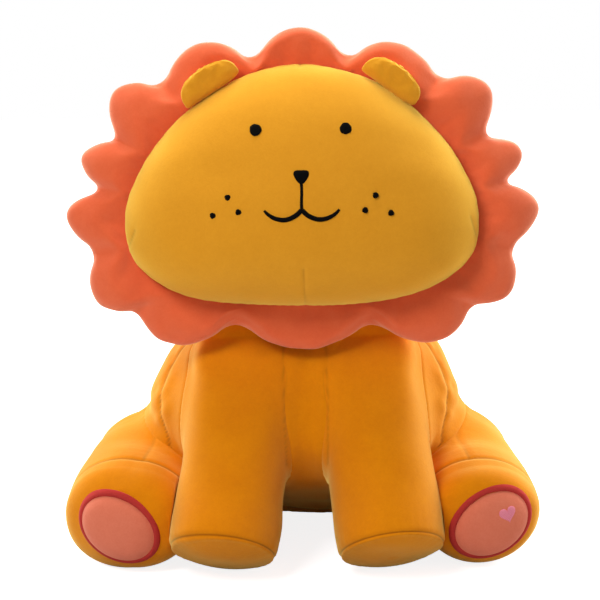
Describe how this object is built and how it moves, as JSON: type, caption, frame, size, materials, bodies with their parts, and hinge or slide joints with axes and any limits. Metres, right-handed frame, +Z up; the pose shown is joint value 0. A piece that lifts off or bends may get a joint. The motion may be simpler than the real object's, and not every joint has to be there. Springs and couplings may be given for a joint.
{
  "type": "plush lion",
  "caption": "Seated plush lion with a padded scalloped mane round a domed face, thick front legs, oval foot pads and a tufted tail; its head, ears, legs and tail flex at their seams.",
  "frame": {"origin": "middle of the flat seat under the rump, on the surface that the lion sits on", "axes": "+Z up, the lion looks along -Y, +X to the right of someone who faces it"},
  "size_m": [0.3484, 0.3496, 0.3993],
  "materials": {
    "gold_velvet": "short golden velvet pile, matt with a bright sheen at grazing angles",
    "face_velvet": "the same golden velvet pile, stretched smooth over the face",
    "rust_velvet": "short orange-red velvet pile",
    "pad_velvet": "short rose velvet pile",
    "welt_cloth": "dark red cloth welt",
    "heart_thread": "pink satin-stitched thread",
    "black_thread": "black satin-stitched thread",
    "fibre_filling": "white fibre filling"
  },
  "bodies": {
    "body": {"body_panel_left": "gold_velvet", "body_panel_right": "gold_velvet", "chest_gusset": "gold_velvet", "seat_panel": "gold_velvet", "body_filling": "fibre_filling"},
    "head": {"face_panel": "face_velvet", "head_back_left": "gold_velvet", "head_back_right": "gold_velvet", "head_filling": "fibre_filling", "mane_front": "rust_velvet", "mane_back": "rust_velvet", "mane_filling": "fibre_filling", "nose": "black_thread", "nose_line": "black_thread", "eye_left": "black_thread", "mouth_left": "black_thread", "freckle_left_1": "black_thread", "freckle_left_2": "black_thread", "freckle_left_3": "black_thread", "eye_right": "black_thread", "mouth_right": "black_thread", "freckle_right_1": "black_thread", "freckle_right_2": "black_thread", "freckle_right_3": "black_thread"},
    "ear_left": {"ear_front_left": "gold_velvet", "ear_back_left": "gold_velvet"},
    "front_leg_left": {"front_leg_left": "gold_velvet", "front_sole_left": "gold_velvet", "front_leg_filling_left": "fibre_filling"},
    "hind_leg_left": {"thigh_left": "gold_velvet", "foot_left": "gold_velvet", "pad_left": "pad_velvet", "pad_piping_left": "welt_cloth", "hind_leg_filling_left": "fibre_filling"},
    "ear_right": {"ear_front_right": "gold_velvet", "ear_back_right": "gold_velvet"},
    "front_leg_right": {"front_leg_right": "gold_velvet", "front_sole_right": "gold_velvet", "front_leg_filling_right": "fibre_filling"},
    "hind_leg_right": {"thigh_right": "gold_velvet", "foot_right": "gold_velvet", "pad_right": "pad_velvet", "pad_piping_right": "welt_cloth", "hind_leg_filling_right": "fibre_filling", "pad_heart": "heart_thread"},
    "tail": {"tail": "gold_velvet", "tail_tuft": "rust_velvet"}
  },
  "joints": [
    {"name": "head_nod", "type": "hinge", "parent": "body", "child": "head", "pos_m": [0, -0.05211, 0.172], "axis": [1, 0, 0], "range_deg": [-12, 4], "stiffness_Nm_per_rad": 5, "springref_deg": -1.15},
    {"name": "ear_fold_left", "type": "hinge", "parent": "head", "child": "ear_left", "pos_m": [-0.06503, -0.1061, 0.35683], "axis": [0.8659, 0.0869, 0.4926], "range_deg": [0, 25], "stiffness_Nm_per_rad": 0.005},
    {"name": "front_leg_swing_left", "type": "hinge", "parent": "body", "child": "front_leg_left", "pos_m": [-0.048, -0.10411, 0.124], "axis": [-1, 0, 0], "range_deg": [0, 30], "stiffness_Nm_per_rad": 1},
    {"name": "hind_leg_splay_left", "type": "hinge", "parent": "body", "child": "hind_leg_left", "pos_m": [-0.114, -0.05611, 0.0475], "axis": [0, 0, -1], "range_deg": [0, 15], "stiffness_Nm_per_rad": 1},
    {"name": "ear_fold_right", "type": "hinge", "parent": "head", "child": "ear_right", "pos_m": [0.06503, -0.1061, 0.35683], "axis": [0.8659, -0.0869, -0.4926], "range_deg": [0, 25], "stiffness_Nm_per_rad": 0.005},
    {"name": "front_leg_swing_right", "type": "hinge", "parent": "body", "child": "front_leg_right", "pos_m": [0.048, -0.10411, 0.124], "axis": [-1, 0, 0], "range_deg": [0, 30], "stiffness_Nm_per_rad": 1},
    {"name": "hind_leg_splay_right", "type": "hinge", "parent": "body", "child": "hind_leg_right", "pos_m": [0.114, -0.05611, 0.0475], "axis": [0, 0, 1], "range_deg": [0, 15], "stiffness_Nm_per_rad": 1},
    {"name": "tail_lift", "type": "hinge", "parent": "body", "child": "tail", "pos_m": [0, 0.03389, 0.04], "axis": [1, 0, 0], "range_deg": [0, 40], "stiffness_Nm_per_rad": 0.05}
  ]
}
